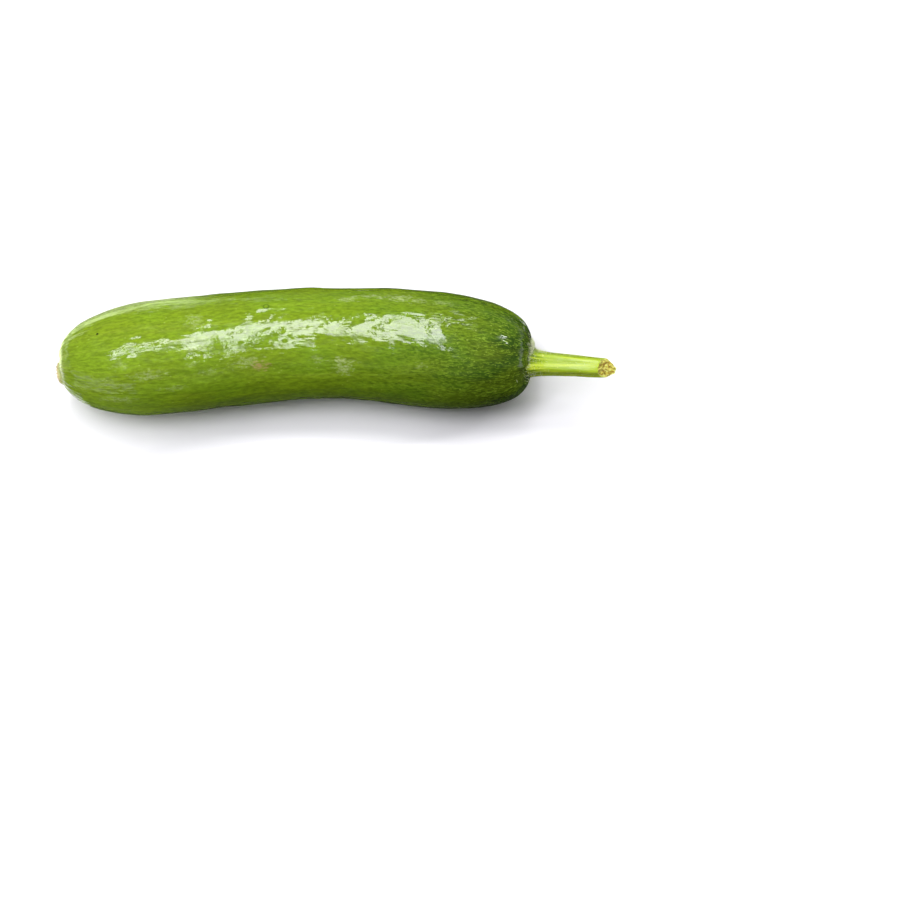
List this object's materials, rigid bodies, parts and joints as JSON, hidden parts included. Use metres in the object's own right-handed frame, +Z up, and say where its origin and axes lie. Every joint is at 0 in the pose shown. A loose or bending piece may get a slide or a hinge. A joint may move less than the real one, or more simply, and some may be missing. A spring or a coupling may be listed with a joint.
{
  "type": "cucumber",
  "caption": "Small cucumber lying on its side: bent, blunt-ended smooth green fruit with a dark striped shoulder and a short ribbed cut stem.",
  "frame": {"origin": "under the middle of the whole object's box, on the surface it lies on", "axes": "+X from the blossom end to the cut stem, +Y towards the outside of the bend, +Z up from the resting side"},
  "size_m": [0.1538, 0.0346, 0.0319],
  "materials": {
    "cucumber_skin": "glossy waxy skin, dark green and striped at the stem end, yellow-green at the blossom end",
    "stem_green": "satin pale green ribbed stem with fine white hairs and a tan cut end"
  },
  "bodies": {
    "root": {"fruit": "cucumber_skin", "stem": "stem_green"}
  },
  "joints": []
}
